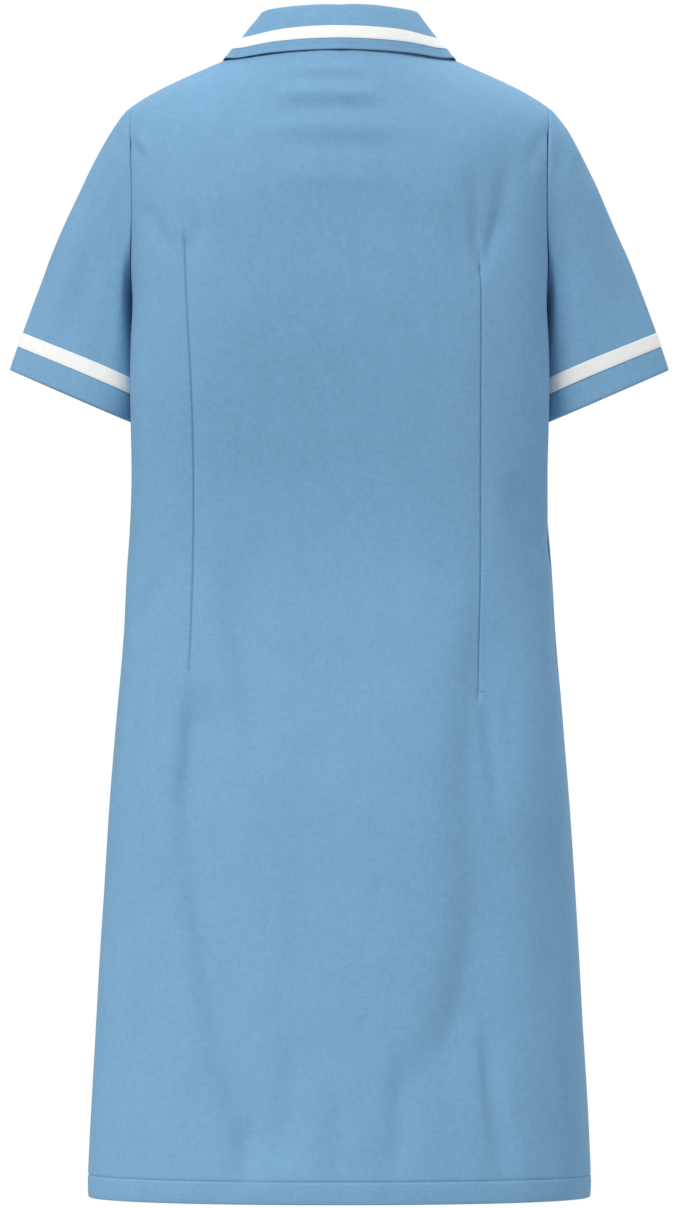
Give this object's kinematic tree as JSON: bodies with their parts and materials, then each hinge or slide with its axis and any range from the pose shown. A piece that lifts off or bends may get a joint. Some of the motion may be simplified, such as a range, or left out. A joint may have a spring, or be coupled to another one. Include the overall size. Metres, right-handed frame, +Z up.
{
  "type": "nurse uniform dress",
  "caption": "Short-sleeved button-through nurse uniform dress, filled out and hollow, with a turned-down collar, white tape trim and back darts, open at neck, cuffs and hem.",
  "frame": {"origin": "midway between the two inner ends of the shoulder seams, where the wearer's shoulders and neck hold the dress up", "axes": "+Z up along the dress's length, +Y towards the wearer's back, +X towards the wearer's left"},
  "size_m": [0.586, 0.2776, 1.0573],
  "materials": {
    "blue_fabric": "smooth plain-woven poly-cotton, sky blue with faint slubs",
    "white_tape": "plain white woven tape, edge-stitched",
    "button_plastic": "pearl white, polished"
  },
  "bodies": {
    "root": {"back": "blue_fabric", "front_left": "blue_fabric", "front_right": "blue_fabric", "sleeve_left": "blue_fabric", "sleeve_right": "blue_fabric", "collar": "blue_fabric", "collar_tape": "white_tape", "sleeve_tape_left": "white_tape", "sleeve_tape_right": "white_tape", "button_1": "button_plastic", "button_2": "button_plastic", "button_3": "button_plastic", "button_4": "button_plastic", "button_5": "button_plastic", "button_6": "button_plastic", "button_7": "button_plastic", "button_8": "button_plastic"}
  },
  "joints": []
}
